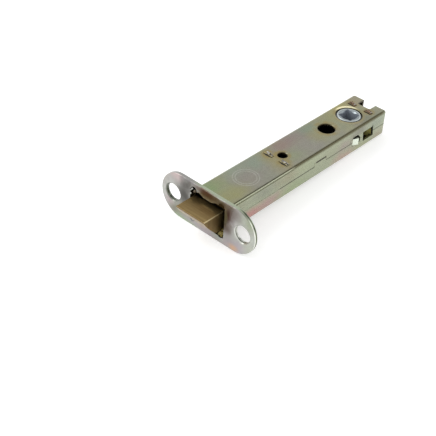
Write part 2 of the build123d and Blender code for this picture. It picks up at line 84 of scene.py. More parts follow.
OLIVE = (0.300, 0.300, 0.190)
GREY_GREEN = (0.285, 0.315, 0.225)
GREY = (0.285, 0.280, 0.230)
PALE_LIT_GREEN = (0.370, 0.400, 0.280)
BEND_GLINT_GREEN = (0.430, 0.450, 0.330)
HOLE_EDGE_SHADE = (0.060, 0.042, 0.018)
BEND_DARK = (0.095, 0.095, 0.050)
BEND_BROWN = (0.110, 0.100, 0.055)
CRESCENT_HIGHLIGHT = (1.000, 0.930, 0.600)
MAUVE = (0.290, 0.240, 0.205)
YELLOW_BROWN = (0.300, 0.235, 0.090)
MOUTH_SHADE = (0.050, 0.038, 0.018)
INSIDE_SHADE = (0.016, 0.014, 0.010)
BARB_HIGHLIGHT = (0.760, 0.820, 0.700)
SEAM_SHADOW = (0.035, 0.028, 0.014)


def new_group(name, inputs, outputs):
    """A shader node group with named sockets; each entry is (name, kind, start value)."""
    tree = bpy.data.node_groups.new(name, "ShaderNodeTree")
    for label, kind, value in inputs:
        socket = tree.interface.new_socket(label, in_out="INPUT", socket_type=kind)
        if value is not None:
            socket.default_value = value
    for label, kind in outputs:
        tree.interface.new_socket(label, in_out="OUTPUT", socket_type=kind)
    return tree, tree.nodes.new("NodeGroupInput"), tree.nodes.new("NodeGroupOutput")


def put(tree, kind, inputs=None, **settings):
    """A node with its settings, and its inputs set to values or joined to sockets."""
    made = tree.nodes.new(kind)
    for key, value in settings.items():
        setattr(made, key, value)
    for key, value in (inputs or {}).items():
        if isinstance(value, bpy.types.NodeSocket):
            tree.links.new(value, made.inputs[key])
        else:
            made.inputs[key].default_value = value
    return made


def blend_colour(tree, share, first, second, mode="MIX"):
    """Mix two colours, each a tuple or a socket, by a share."""
    mix = put(tree, "ShaderNodeMix", data_type="RGBA", blend_type=mode)
    for socket, value in ((mix.inputs[0], share), (mix.inputs[6], first), (mix.inputs[7], second)):
        if isinstance(value, bpy.types.NodeSocket):
            tree.links.new(value, socket)
        elif isinstance(value, tuple):
            socket.default_value = (*value, 1.0)
        else:
            socket.default_value = value
    return mix.outputs[2]


def patches(tree, where, size_mm, low, high, shift=0.0, detail=3.0):
    """Soft cloudy patches of about that size: 0 below low, 1 above high."""
    moved = put(tree, "ShaderNodeVectorMath", {0: where, 1: (shift, shift * 0.7, -shift)})
    cloud = put(
        tree,
        "ShaderNodeTexNoise",
        {
            "Vector": moved.outputs[0],
            "Scale": 1.0 / (size_mm * MM),
            "Detail": detail,
            "Roughness": 0.55,
        },
    )
    ramp = put(
        tree, "ShaderNodeMapRange", {"Value": cloud.outputs[0], "From Min": low, "From Max": high}
    )
    ramp.interpolation_type = "SMOOTHSTEP"
    return ramp.outputs[0]


def tinted(tree, where, colour, tints):
    """Lay soft-edged tints over a colour; each has a place, a reach, a colour and a strength."""
    wander = put(
        tree,
        "ShaderNodeTexNoise",
        {"Vector": where, "Scale": 160.0, "Detail": 3.0, "Roughness": 0.6},
    )
    for centre, reach, tint, strength in tints:
        off = put(
            tree,
            "ShaderNodeVectorMath",
            {0: where, 1: tuple(-c * MM for c in centre)},
            operation="ADD",
        )
        scaled = put(
            tree,
            "ShaderNodeVectorMath",
            {0: off.outputs[0], 1: tuple(1 / (r * MM) for r in reach)},
            operation="MULTIPLY",
        )
        away = put(tree, "ShaderNodeVectorMath", {0: scaled.outputs[0]}, operation="LENGTH")
        ragged = put(
            tree,
            "ShaderNodeMath",
            {0: wander.outputs[0], 1: 0.9, 2: away.outputs["Value"]},
            operation="MULTIPLY_ADD",
        )
        mask = put(
            tree,
            "ShaderNodeMapRange",
            {
                "Value": ragged.outputs[0],
                "From Min": 0.45,
                "From Max": 1.65,
                "To Min": strength,
                "To Max": 0.0,
            },
        )
        mask.interpolation_type = "SMOOTHSTEP"
        colour = blend_colour(tree, mask.outputs[0], colour, tint)
    return colour


def make_passivation_group():
    """Colour of the yellow passivation: olive film with grey, green, mauve and pink patches."""
    tree, given, out = new_group(
        "passivation_film",
        [
            ("Where", "NodeSocketVector", None),
            ("Olive", "NodeSocketColor", (*OLIVE, 1.0)),
            ("Grey", "NodeSocketColor", (*GREY, 1.0)),
            ("Pink amount", "NodeSocketFloat", 0.5),
            ("Green amount", "NodeSocketFloat", 0.5),
        ],
        [("Color", "NodeSocketColor"), ("Mottle", "NodeSocketFloat")],
    )
    where = given.outputs["Where"]
    colour = blend_colour(
        tree, patches(tree, where, 22.0, 0.36, 0.66), given.outputs["Olive"], given.outputs["Grey"]
    )
    green = put(
        tree,
        "ShaderNodeMath",
        {0: patches(tree, where, 17.0, 0.47, 0.68, shift=0.31), 1: given.outputs["Green amount"]},
        operation="MULTIPLY",
    )
    colour = blend_colour(tree, green.outputs[0], colour, GREY_GREEN)
    mauve = put(
        tree,
        "ShaderNodeMath",
        {0: patches(tree, where, 15.0, 0.50, 0.70, shift=0.83), 1: given.outputs["Pink amount"]},
        operation="MULTIPLY",
    )
    colour = blend_colour(tree, mauve.outputs[0], colour, MAUVE)
    mottle = patches(tree, where, 2.2, 0.30, 0.70, shift=0.5, detail=5.0)
    shade = put(tree, "ShaderNodeMapRange", {"Value": mottle, "To Min": 0.93, "To Max": 1.06})
    colour = blend_colour(tree, 1.0, colour, shade.outputs[0], mode="MULTIPLY")
    tree.links.new(colour, out.inputs["Color"])
    tree.links.new(mottle, out.inputs["Mottle"])
    return tree


def make_grain_group():
    """Rolling grain of the sheet: fine streaks along the latch, for bump and roughness."""
    tree, given, out = new_group(
        "rolling_grain",
        [("Where", "NodeSocketVector", None), ("Fineness", "NodeSocketFloat", 2600.0)],
        [("Height", "NodeSocketFloat")],
    )
    long_way = put(
        tree, "ShaderNodeMapping", {"Vector": given.outputs["Where"], "Scale": (0.05, 1.0, 1.0)}
    )
    streaks = put(
        tree,
        "ShaderNodeTexNoise",
        {"Vector": long_way.outputs[0], "Scale": given.outputs["Fineness"], "Detail": 3.0},
    )
    pits = put(
        tree,
        "ShaderNodeTexNoise",
        {"Vector": given.outputs["Where"], "Scale": 900.0, "Detail": 4.0},
    )
    total = put(
        tree, "ShaderNodeMath", {0: streaks.outputs[0], 1: pits.outputs[0]}, operation="ADD"
    )
    tree.links.new(total.outputs[0], out.inputs["Height"])
    return tree


def make_ring_group():
    """Mask that is 1 at a distance from a centre, seen along Z, and fades to 0 over a width."""
    tree, given, out = new_group(
        "ring_about_a_hole",
        [
            ("Where", "NodeSocketVector", None),
            ("Centre", "NodeSocketVector", (0.0, 0.0, 0.0)),
            ("Radius", "NodeSocketFloat", 0.005),
            ("Width", "NodeSocketFloat", 0.001),
        ],
        [("Mask", "NodeSocketFloat")],
    )
    flat = put(
        tree,
        "ShaderNodeVectorMath",
        {0: given.outputs["Where"], 1: (1.0, 1.0, 0.0)},
        operation="MULTIPLY",
    )
    away = put(
        tree,
        "ShaderNodeVectorMath",
        {0: flat.outputs[0], 1: given.outputs["Centre"]},
        operation="DISTANCE",
    )
    past = put(
        tree,
        "ShaderNodeMath",
        {0: away.outputs["Value"], 1: given.outputs["Radius"]},
        operation="SUBTRACT",
    )
    off = put(tree, "ShaderNodeMath", {0: past.outputs[0]}, operation="ABSOLUTE")
    mask = put(
        tree,
        "ShaderNodeMapRange",
        {"Value": off.outputs[0], "From Max": given.outputs["Width"], "To Min": 1.0, "To Max": 0.0},
    )
    mask.interpolation_type = "SMOOTHSTEP"
    tree.links.new(mask.outputs[0], out.inputs["Mask"])
    return tree


def make_edge_group():
    """Mask of sharp edges, where the plating is rubbed bright and a highlight is painted, and the
    rounded normal there.
    """
    tree, given, out = new_group(
        "rubbed_and_highlit_edges",
        [("Radius", "NodeSocketFloat", 0.0002)],
        [("Mask", "NodeSocketFloat"), ("Normal", "NodeSocketVector")],
    )
    rounded = put(tree, "ShaderNodeBevel", {"Radius": given.outputs["Radius"]}, samples=6)
    true_normal = put(tree, "ShaderNodeNewGeometry")
    agree = put(
        tree,
        "ShaderNodeVectorMath",
        {0: rounded.outputs[0], 1: true_normal.outputs["Normal"]},
        operation="DOT_PRODUCT",
    )
    mask = put(
        tree,
        "ShaderNodeMapRange",
        {"Value": agree.outputs["Value"], "From Min": 0.995, "From Max": 0.80},
    )
    tree.links.new(mask.outputs[0], out.inputs["Mask"])
    tree.links.new(rounded.outputs[0], out.inputs["Normal"])
    return tree


film_group = make_passivation_group()
grain_group = make_grain_group()
ring_group = make_ring_group()
edge_group = make_edge_group()


def use_group(tree, group, inputs=None):
    """Place a node group and join or set its inputs."""
    made = put(tree, "ShaderNodeGroup", node_tree=group)
    for key, value in (inputs or {}).items():
        if isinstance(value, bpy.types.NodeSocket):
            tree.links.new(value, made.inputs[key])
        else:
            made.inputs[key].default_value = value
    return made


def start_metal(name, metallic, roughness, ior=1.5):
    """An empty metal material: its tree, shader and the place on the piece."""
    material = bpy.data.materials.new(name)
    material.use_nodes = True
    tree = material.node_tree
    shader = tree.nodes["Principled BSDF"]
    shader.inputs["Metallic"].default_value = metallic
    shader.inputs["Roughness"].default_value = roughness
    shader.inputs["IOR"].default_value = ior
    where = put(tree, "ShaderNodeTexCoord").outputs["Object"]
    return material, tree, shader, where


def finish_metal(
    tree, shader, colour, where, edge_colour, bump_mm, edge_share=0.5, rough=(0.22, 0.32), relief=()
):
    """Rub the edges bright, partly a painted highlight, add the grain and any relief, and join
    everything to the shader.
    """
    edges = use_group(tree, edge_group, {"Radius": 0.18 * MM})
    brightened_edge = put(
        tree, "ShaderNodeMath", {0: edges.outputs["Mask"], 1: edge_share}, operation="MULTIPLY"
    )
    colour = blend_colour(tree, brightened_edge.outputs[0], colour, edge_colour)
    grain = use_group(tree, grain_group, {"Where": where})
    bump = put(
        tree,
        "ShaderNodeBump",
        {
            "Strength": 1.0,
            "Distance": bump_mm * MM,
            "Height": grain.outputs["Height"],
            "Normal": edges.outputs["Normal"],
        },
    )
    for height, depth_mm in relief:
        bump = put(
            tree,
            "ShaderNodeBump",
            {
                "Strength": 1.0,
                "Distance": depth_mm * MM,
                "Height": height,
                "Normal": bump.outputs[0],
            },
        )
    roughness = put(
        tree,
        "ShaderNodeMapRange",
        {
            "Value": grain.outputs["Height"],
            "From Min": 0.6,
            "From Max": 1.4,
            "To Min": rough[0],
            "To Max": rough[1],
        },
    )
    tree.links.new(colour, shader.inputs["Base Color"])
    tree.links.new(roughness.outputs[0], shader.inputs["Roughness"])
    tree.links.new(bump.outputs[0], shader.inputs["Normal"])


def ring_mask(tree, where, centre_mm, radius_mm, width_mm):
    """The ring group set for a centre, a radius and a width in millimetres."""
    ring = use_group(
        tree,
        ring_group,
        {
            "Where": where,
            "Centre": (centre_mm[0] * MM, centre_mm[1] * MM, 0.0),
            "Radius": radius_mm * MM,
            "Width": width_mm * MM,
        },
    )
    return ring.outputs["Mask"]


def stained(tree, where, colour, centre_mm, radius_mm, width_mm, stain, share):
    """Stain a ring about a hole or a stake, broken up so that it isn't even."""
    ring = ring_mask(tree, where, centre_mm, radius_mm, width_mm)
    broken = patches(tree, where, 3.5, 0.25, 0.60, shift=centre_mm[0] * 0.01 + centre_mm[1])
    uneven = put(tree, "ShaderNodeMath", {0: ring, 1: broken}, operation="MULTIPLY")
    amount = put(tree, "ShaderNodeMath", {0: uneven.outputs[0], 1: share}, operation="MULTIPLY")
    return blend_colour(tree, amount.outputs[0], colour, stain)


def band(tree, where, axis, start_mm, end_mm, soft_mm):
    """Mask that is 1 between two places along one axis, with soft ends."""
    parts = put(tree, "ShaderNodeSeparateXYZ", {0: where})
    rising = put(
        tree,
        "ShaderNodeMapRange",
        {
            "Value": parts.outputs[axis],
            "From Min": (start_mm - soft_mm) * MM,
            "From Max": (start_mm + soft_mm) * MM,
        },
    )
    falling = put(
        tree,
        "ShaderNodeMapRange",
        {
            "Value": parts.outputs[axis],
            "From Min": (end_mm - soft_mm) * MM,
            "From Max": (end_mm + soft_mm) * MM,
            "To Min": 1.0,
            "To Max": 0.0,
        },
    )
    both = put(
        tree, "ShaderNodeMath", {0: rising.outputs[0], 1: falling.outputs[0]}, operation="MULTIPLY"
    )
    return both.outputs[0]


def overlap(tree, *masks):
    """Masks multiplied together."""
    total = masks[0]
    for mask in masks[1:]:
        total = put(tree, "ShaderNodeMath", {0: total, 1: mask}, operation="MULTIPLY").outputs[0]
    return total


def inside_case(tree, where):
    """Mask of everything within the case's inner faces."""
    return overlap(
        tree,
        band(tree, where, 0, -20.0, CASE_END - SHEET + 0.1, 0.06),
        band(tree, where, 1, -SIDE_FACE + SHEET - 0.1, SIDE_FACE - SHEET + 0.1, 0.06),
        band(tree, where, 2, -CASE_TOP + SHEET - 0.1, CASE_TOP - SHEET + 0.1, 0.06),
    )


# Tints of the film that show in the photograph: place, reach, colour and strength.
TOP_TINTS = (
    ((6, 6, 8), (13, 8, 3), (0.245, 0.330, 0.165), 0.8),
    ((11, -6, 8), (15, 8, 3), (0.320, 0.315, 0.140), 0.8),
    ((26, 7, 8), (11, 7, 3), (0.285, 0.330, 0.255), 0.8),
    ((28, 0, 8), (10, 8, 3), (0.285, 0.265, 0.235), 0.7),
    ((40, 6, 8), (11, 8, 3), (0.260, 0.310, 0.240), 0.8),
    ((48, 0, 8), (8, 12, 3), (0.325, 0.285, 0.135), 0.7),
    ((61, 6, 8), (12, 7, 3), (0.290, 0.205, 0.185), 0.8),
    ((73, 6, 8), (11, 7, 3), (0.270, 0.220, 0.205), 0.7),
    ((60, -4, 8), (10, 6, 3), (0.270, 0.310, 0.190), 0.6),
    ((69, -2, 8), (11, 8, 3), (0.285, 0.255, 0.230), 0.6),
    ((82, 7, 8), (10, 6, 3), (0.215, 0.280, 0.200), 0.7),
    ((81, -1, 8), (8, 7, 3), (0.305, 0.280, 0.145), 0.6),
    ((98, 5, 8), (9, 8, 3), (0.300, 0.295, 0.140), 0.7),
    ((110, 9, 8), (12, 5, 3), (0.370, 0.335, 0.130), 0.8),
    ((113, -8, 8), (11, 5, 3), (0.200, 0.205, 0.160), 0.7),
    ((122, 6, 8), (8, 8, 3), (0.330, 0.285, 0.195), 0.7),
)
SIDE_TINTS = (
    ((9, -11, 4), (14, 3, 6), (0.285, 0.290, 0.205), 0.7),
    ((29, -11, 4), (15, 3, 6), (0.245, 0.250, 0.200), 0.7),
    ((46, -11, 4), (13, 3, 6), (0.300, 0.275, 0.185), 0.7),
    ((60, -11, 4), (12, 3, 6), (0.350, 0.385, 0.240), 0.6),
    ((80, -11, 3), (14, 3, 6), (0.340, 0.350, 0.240), 0.6),
    ((92, -11, 1), (9, 3, 5), (0.360, 0.300, 0.270), 0.7),
    ((104, -11, 5), (11, 3, 4), (0.225, 0.215, 0.180), 0.8),
    ((120, -11, 4), (11, 3, 6), (0.260, 0.295, 0.230), 0.8),
    ((121, -11, -5), (9, 3, 5), (0.380, 0.330, 0.240), 0.7),
)
LOWER_TINTS = (
    # The first of these is a painted shadow of the front flange on the lower near side.
    ((6, -11, -4), (7, 3, 6), (0.150, 0.150, 0.120), 0.9),
    ((19, -11, -5), (20, 3, 5), (0.500, 0.250, 0.240), 0.9),
    ((34, -11, -4), (13, 3, 5), (0.430, 0.300, 0.280), 0.8),
    ((50, -11, -5), (15, 3, 5), (0.330, 0.390, 0.220), 0.7),
    ((92, -11, -6), (12, 3, 5), (0.480, 0.330, 0.280), 0.8),
    ((108, -11, -6), (10, 3, 5), (0.390, 0.400, 0.240), 0.7),
)
# Brown stains about the holes and the stakes: centre, radius, width and strength.
STAINS = (
    ((FOLLOWER_X, 0.0), 7.7, 1.6, 0.6),
    ((FURNITURE_HOLE_X, 0.0), 5.4, 2.6, 0.85),
    ((TOOLING_HOLE_X, 0.0), 3.2, 2.0, 0.85),
    ((49.5, -5.05), 2.4, 2.8, 0.85),
    ((49.5, 5.05), 2.4, 2.8, 0.85),
    ((118.0, -5.3), 2.2, 2.2, 0.8),
    ((118.0, 5.3), 2.2, 2.2, 0.8),
)
# Painted shade at the edges of the round holes: place along the case, radius and width.
HOLE_RIM_SHADES = ((FOLLOWER_X, 7.05, 0.4), (FURNITURE_HOLE_X, 4.4, 0.75), (TOOLING_HOLE_X, 2.4, 0.65))
# Shade in the seam of the near side: start, end, height and half width.
SEAM_SHADES = (
    (40.0, 67.2, SEAM, 0.25),
    (68.0, 76.0, SEAM + TONGUE_RISE, 0.5),
    (76.3, 98.0, SEAM, 0.20),
    (112.0, 126.0, SEAM, 0.18),
)
# Painted reflections along the near bend, dark lines beside a bright glint: reach along x, y and z,
# softness and colour.
BEND_LINES = (
    ((3.6, 50.0), (-10.42, -10.00), (6.5, 9.0), 0.12, BEND_DARK),
    ((3.6, 50.0), (-10.86, -10.55), (6.0, 9.0), 0.12, BEND_GLINT_GREEN),
    ((3.6, 50.0), (-12.0, -10.60), (6.15, 6.60), 0.12, BEND_DARK),
    ((50.0, 125.6), (-10.90, -9.90), (5.9, 9.0), 0.28, BEND_BROWN),
)


def make_case_material(name, lower=False, paint_inner_shade=True):
    """Passivated sheet, with the tints and stains that the photograph shows on each half, and
    painted shade, highlights and reflections.
    """
    material, tree, shader, where = start_metal(name, 0.88, 0.28)
    film = use_group(tree, film_group, {"Where": where, "Pink amount": 0.4, "Green amount": 0.4})
    colour = film.outputs["Color"]
    near_side = band(tree, where, 1, -40.0, -SIDE_FACE + 0.5, 0.5)
    other_side = band(tree, where, 1, SIDE_FACE - 0.5, 40.0, 0.5)
    # The near side is painted paler as painted light, where the floor lights it; the far side takes
    # a grey-green tone.
    colour = blend_colour(tree, near_side, colour, PALE_LIT_GREEN)
    colour = blend_colour(tree, other_side, colour, GREY_GREEN)
    colour = tinted(tree, where, colour, SIDE_TINTS + (LOWER_TINTS if lower else TOP_TINTS))

    for centre, radius, width, share in STAINS:
        colour = stained(tree, where, colour, centre, radius, width, YELLOW_BROWN, share)
    # Painted shade at the edges of the holes.
    for x, radius, width in HOLE_RIM_SHADES:
        groove = ring_mask(tree, where, (x, 0.0), radius, width)
        colour = blend_colour(tree, groove, colour, HOLE_EDGE_SHADE)
    for start, end, level, half in SEAM_SHADES:
        seam = overlap(
            tree,
            band(tree, where, 0, start, end, 0.3),
            band(tree, where, 2, level - half, level + half, 0.09),
            near_side,
        )
        colour = blend_colour(tree, seam, colour, SEAM_SHADOW)
    # A painted highlight on the outward face of the barb.
    barb = overlap(
        tree,
        band(tree, where, 0, 98.2, 101.7, 0.15),
        band(tree, where, 1, -14.0, -SIDE_FACE - 0.06, 0.04),
        band(tree, where, 2, -2.2, 2.3, 0.3),
    )
    colour = blend_colour(tree, barb, colour, BARB_HIGHLIGHT)
    # Painted reflections along the near bend.
    for along, across, upright, soft, tint in BEND_LINES:
        line = overlap(
            tree,
            band(tree, where, 0, *along, 2.5),
            band(tree, where, 1, *across, soft),
            band(tree, where, 2, *upright, 0.12),
        )
        colour = blend_colour(tree, line, colour, tint)
    # A painted highlight, yellow, on the far wall of the follower's hole.
    crescent = overlap(
        tree,
        ring_mask(tree, where, (FOLLOWER_X, 0.0), 7.9, 1.05),
        ring_mask(tree, where, (FOLLOWER_X + 5.5, 7.0), 0.0, 8.5),
    )
    fuller = put(
        tree, "ShaderNodeMath", {0: crescent, 1: 3.0}, operation="MULTIPLY", use_clamp=True
    )
    colour = blend_colour(tree, fuller.outputs[0], colour, CRESCENT_HIGHLIGHT)
    # Painted shade inside the case, in the rear notch and in the front mouth.
    if paint_inner_shade:
        colour = blend_colour(tree, inside_case(tree, where), colour, INSIDE_SHADE)
        notch = overlap(
            tree,
            band(tree, where, 0, 119.0, 130.0, 0.1),
            band(tree, where, 1, -NOTCH_REACH, NOTCH_REACH, 0.06),
            band(tree, where, 2, -CASE_TOP + 0.25, CASE_TOP - 0.25, 0.1),
        )
        colour = blend_colour(tree, notch, colour, MOUTH_SHADE)
        mouth = overlap(
            tree,
            band(tree, where, 0, 1.0, 3.6, 0.1),
            band(tree, where, 1, -11.6, 11.6, 0.2),
            band(tree, where, 2, -9.2, 9.2, 0.2),
        )
        colour = blend_colour(tree, mouth, colour, MOUTH_SHADE)
    relief = [(ring_mask(tree, where, (FOLLOWER_X, 0.0), 7.0, 1.3), -0.12)]
    if not lower:
        for radius in (EMBOSS_RADIUS, EMBOSS_RADIUS - EMBOSS_STEP):
            groove = ring_mask(tree, where, EMBOSS_CENTRE, radius, 0.35)
            worn = overlap(tree, groove, patches(tree, where, 2.5, 0.1, 0.6))
            colour = blend_colour(tree, worn, colour, EMBOSS_LIGHT)
            relief.append((groove, -0.06))
    finish_metal(tree, shader, colour, where, PALE_LIT_GREEN, 0.010, relief=relief)
    return material


def dress(node, material):
    """Give a carried-over CAD piece its finish."""
    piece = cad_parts[node]
    piece.data.materials.clear()
    piece.data.materials.append(material)
    return piece


dress("case_top_shell", make_case_material("passivated_upper_half"))
dress("case_bottom_shell", make_case_material("passivated_lower_half", lower=True))


# Forend
# A round-ended 2 mm steel plate, blanked and pressed on to the case's front flange, then
# plated with it. The screw holes and the bolt's opening are punched from the front, and the
# corners of the opening are staked over the flange, which leaves them lumpy.
forend_low = box_mm("forend_plate")[0]
FOREND_SILVER = (0.430, 0.450, 0.410)
FOREND_GREY = (0.430, 0.420, 0.410)
FOREND_EDGE = (0.400, 0.450, 0.330)
FOREND_PAINTED_DARK = (0.070, 0.080, 0.050)
FOREND_LEFT_EDGE = (0.330, 0.325, 0.310)
FOREND_GLINT = (0.950, 0.960, 0.880)
HOLE_WALL_LIT = (0.600, 0.610, 0.560)
HOLE_WALL_SHADED = (0.200, 0.210, 0.180)
CORNER_OLIVE = (0.200, 0.170, 0.050)
OPENING_HALF_WIDTH = 13.0
OPENING_HALF_HEIGHT = 11.0
SCREW_HOLE_Y = 22.35
SCREW_HOLE_RADIUS = 4.6
# Tints of the forend, laid out as the case's are; the dark ones about the bolt's opening are
# painted shade and reflection.
FOREND_TINTS_AND_REFLECTIONS = (
    ((0, 20, 11), (9, 6, 4), (0.500, 0.390, 0.385), 0.8),
    ((0, 11, 12.5), (9, 8, 3), (0.270, 0.255, 0.265), 0.9),
    ((0, 27, -9), (9, 7, 7), (0.480, 0.450, 0.480), 0.6),
    ((0, 15.0, 2), (3, 7, 9), (0.080, 0.077, 0.070), 1.0),
    ((0, 13.5, 9), (3, 6, 6), (0.100, 0.095, 0.085), 1.0),
    ((0, 19, -4), (3, 4, 4), (0.260, 0.255, 0.230), 0.7),
    ((0, 21, -9), (3, 7, 5), (0.210, 0.195, 0.150), 0.9),
    ((0, 14, -9), (3, 7, 5), (0.240, 0.265, 0.120), 0.9),
    ((0, 24, -5), (3, 4, 4), (0.440, 0.310, 0.340), 0.5),
    ((0, 17, -12), (3, 6, 3), (0.300, 0.380, 0.250), 0.8),
    ((0, 2, -9.6), (3, 6, 2), (0.400, 0.310, 0.230), 0.7),
    ((0, -13.5, -7), (3, 4, 4.5), (0.310, 0.390, 0.290), 0.9),
    ((0, -14, -10), (3, 4, 3), (0.500, 0.370, 0.380), 0.6),
    ((0, -22, -8), (3, 6, 4), (0.450, 0.380, 0.450), 0.6),
    ((0, 12, -10), (9, 8, 4), (0.400, 0.370, 0.400), 0.7),
    ((0, 0, -11), (9, 10, 3), (0.380, 0.340, 0.380), 0.7),
    ((0, 14, -13.5), (9, 13, 3.2), (0.300, 0.390, 0.240), 0.95),
    ((0, -6, -13.5), (9, 14, 3), (0.390, 0.330, 0.330), 0.85),
    ((0, -22, -13), (9, 6, 3), (0.540, 0.450, 0.540), 0.8),
    ((0, 0, 10.6), (3, 13, 3.8), (0.120, 0.095, 0.060), 1.0),
    ((0, 1, 11.2), (3, 8, 2.2), (0.100, 0.050, 0.032), 0.9),
    ((0, -9, 10.0), (3, 5, 3), (0.060, 0.038, 0.020), 0.9),
    ((0, -13.4, 6.5), (3, 5.0, 10), (0.085, 0.040, 0.034), 1.0),
    ((0, -11.6, 3), (3, 1.8, 8), (0.200, 0.200, 0.120), 0.95),
    ((0, -13, -2), (3, 4.5, 6), (0.110, 0.080, 0.062), 0.9),
    ((0, -18, 9), (3, 5, 6), (0.200, 0.170, 0.160), 0.8),
    ((0, -15, -8), (9, 7, 5), (0.390, 0.345, 0.370), 0.8),
    ((0, -17.4, -10.5), (9, 4, 2.5), (0.620, 0.400, 0.260), 0.95),
    ((0, -27, 9), (9, 6, 6), (0.310, 0.350, 0.240), 0.8),
    ((0, -27, -6), (9, 6, 8), (0.470, 0.490, 0.400), 0.6),
)
GLINT = (0.800, 0.820, 0.760)


def upright_disc(tree, where, y_mm, radius_mm):
    """Mask of a disc in the forend's face."""
    flat = put(
        tree,
        "ShaderNodeVectorMath",
        {0: where, 1: (0.0, 1.0, 1.0)},
        operation="MULTIPLY",
    )
    away = put(
        tree,
        "ShaderNodeVectorMath",
        {0: flat.outputs[0], 1: (0.0, y_mm * MM, 0.0)},
        operation="DISTANCE",
    )
    mask = put(
        tree,
        "ShaderNodeMapRange",
        {
            "Value": away.outputs["Value"],
            "From Min": (radius_mm - 0.1) * MM,
            "From Max": (radius_mm + 0.1) * MM,
            "To Min": 1.0,
            "To Max": 0.0,
        },
    )
    return mask.outputs[0]


def make_forend_material():
    """Passivated plate, more silver than the case, grained, and darkened brown about the opening by
    painted shade and reflection.
    """
    material, tree, shader, where = start_metal("passivated_forend", 0.85, 0.34)
    film = use_group(
        tree,
        film_group,
        {
            "Where": where,
            "Olive": (*FOREND_SILVER, 1.0),
            "Grey": (*FOREND_GREY, 1.0),
            "Pink amount": 0.3,
        },
    )
    colour = tinted(tree, where, film.outputs["Color"], FOREND_TINTS_AND_REFLECTIONS)
    rim = band(tree, where, 0, 0.45, 3.0, 0.1)
    colour = blend_colour(tree, rim, colour, FOREND_EDGE)
    left_edge = overlap(tree, rim, band(tree, where, 1, 8.0, 40.0, 3.0))
    colour = blend_colour(tree, left_edge, colour, FOREND_LEFT_EDGE)
    # A painted dark reflection along the right rounded edge, beside the painted glint.
    rolled = overlap(
        tree, band(tree, where, 0, 1.15, 1.75, 0.15), band(tree, where, 1, -32.0, -20.0, 2.0)
    )
    colour = blend_colour(tree, rolled, colour, FOREND_PAINTED_DARK)
    glint = overlap(
        tree,
        band(tree, where, 0, 0.35, 0.85, 0.12),
        band(tree, where, 1, -32.0, -24.0, 1.5),
        band(tree, where, 2, -6.0, 9.0, 2.0),
    )
    colour = blend_colour(tree, glint, colour, FOREND_GLINT)
    for y, wall in ((-SCREW_HOLE_Y, HOLE_WALL_LIT), (SCREW_HOLE_Y, HOLE_WALL_SHADED)):
        hole = upright_disc(tree, where, y, SCREW_HOLE_RADIUS + 0.4)
        colour = blend_colour(tree, hole, colour, wall)
        # Painted shade in the turn of each screw hole.
        dark_turn = overlap(tree, hole, band(tree, where, 0, 0.65, 1.15, 0.12))
        colour = blend_colour(tree, dark_turn, colour, FOREND_PAINTED_DARK)
    # Painted shade on the walls of the bolt's opening.
    walls = overlap(
        tree,
        band(tree, where, 0, 0.25, 3.0, 0.15),
        band(tree, where, 1, -OPENING_HALF_WIDTH, OPENING_HALF_WIDTH, 0.2),
        band(tree, where, 2, -OPENING_HALF_HEIGHT, OPENING_HALF_HEIGHT, 0.2),
    )
    colour = blend_colour(tree, walls, colour, MOUTH_SHADE)
    low_corner = overlap(
        tree,
        walls,
        band(tree, where, 1, -OPENING_HALF_WIDTH, -6.0, 1.0),
        band(tree, where, 2, -OPENING_HALF_HEIGHT, -6.0, 1.5),
    )
    colour = blend_colour(tree, low_corner, colour, CORNER_OLIVE)
    finish_metal(tree, shader, colour, where, GLINT, 0.010, edge_share=0.12, rough=(0.26, 0.38))
    return material


forend_finish = make_forend_material()
dress("forend_plate", forend_finish)


# Without a seed Blender takes its noise from the clock, and the lumps differ from run to run.
NOISE_SEED = 7
noise.seed_set(NOISE_SEED)


def lump(bm, centre_mm, size_mm, roughness_mm, seed, slot=0):
    """A peened lump of metal: a pebble whose surface is pushed about a little."""
    before = len(bm.faces)
    made = bmesh.ops.create_icosphere(bm, subdivisions=4, radius=0.5)
    verts = made["verts"]
    bmesh.ops.scale(bm, vec=Vector(size_mm) * MM, verts=verts)
    for v in verts:
        push = noise.noise_vector(v.co / (0.8 * MM) + Vector((seed, seed * 1.7, seed * 0.3)))
        v.co += push * roughness_mm * MM
    bmesh.ops.translate(bm, vec=Vector(centre_mm) * MM, verts=verts)
    bm.faces.ensure_lookup_table()
    for face in bm.faces[before:]:
        face.material_index = slot


def finish_piece(name, bm, body, material, smooth=True):
    """Turn a bmesh into a piece that rides on a body."""
    bmesh.ops.recalc_face_normals(bm, faces=bm.faces)
    mesh = bpy.data.meshes.new(name)
    bm.to_mesh(mesh)
    bm.free()
    if smooth:
        mesh.shade_smooth()
    piece = bpy.data.objects.new(name, mesh)
    bpy.context.collection.objects.link(piece)
    mesh.materials.append(material)
    if body is not None:
        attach(piece, body)
    return piece


# Cross plates
# Three steel plates across the case. Their tenons come through slots in the halves and are
# peened over, which leaves a low grey lump beside a dark sliver of open slot. The bare ends at
# the rear have gone brown with rust.
PEEN_GREY = (0.480, 0.460, 0.420)
TENON_RUST = (0.170, 0.115, 0.065)
PEEN_RUST = (0.360, 0.235, 0.165)
PEEN_BROWN = (0.035, 0.026, 0.014)
GAP_BLACK = (0.012, 0.010, 0.008)
GAP_BROWN = (0.030, 0.024, 0.016)
WINDOW_YELLOW = (0.800, 0.750, 0.230)
WINDOW_OLIVE = (0.560, 0.500, 0.150)
BURR_BROWN = (0.200, 0.160, 0.110)
BURR_OLIVE = (0.300, 0.240, 0.060)
BURR_SILVER = (0.400, 0.400, 0.390)
WINDOW_DIVIDER = (111.6, 112.6)
PEEN_SLOT, GAP_SLOT, RUST_SLOT = 0, 1, 2
# The staked tenons: place along the case, distance from its middle, length and finish.
STAKES = ((49.6, 5.05, 4.7, PEEN_SLOT), (118.4, 5.5, 3.4, RUST_SLOT))


